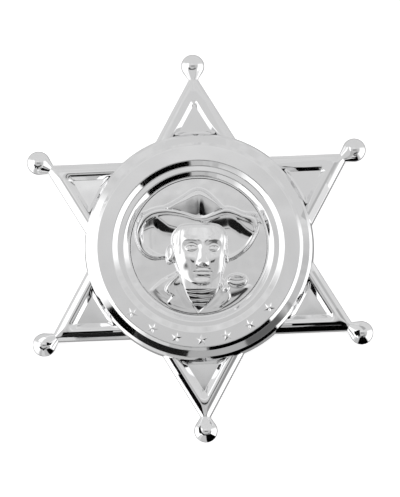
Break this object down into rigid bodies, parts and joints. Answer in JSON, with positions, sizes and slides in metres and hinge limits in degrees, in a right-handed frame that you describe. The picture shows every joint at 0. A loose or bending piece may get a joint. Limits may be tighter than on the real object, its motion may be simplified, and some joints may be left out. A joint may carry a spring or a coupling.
{
  "type": "six-point star badge with portrait medallion",
  "caption": "Six-point star badge with ball tips, recessed arms, stepped round medallion, raised bust in a wide-brimmed hat and a pin on its hollow back.",
  "frame": {"origin": "middle of the star on the surface that it lies on", "axes": "+Z out of the front of the badge, +Y to the top arm, +X to the right as seen from the front"},
  "size_m": [0.0656, 0.075, 0.0072],
  "materials": {
    "chrome_shell": "bright mirror plating on a moulded star, with soft edges",
    "chrome_portrait": "bright mirror plating over the relief",
    "pin_steel": "plain drawn and stamped steel"
  },
  "bodies": {
    "root": {"star_shell": "chrome_shell", "medallion": "chrome_portrait", "pin_clasp": "pin_steel"}
  },
  "joints": []
}
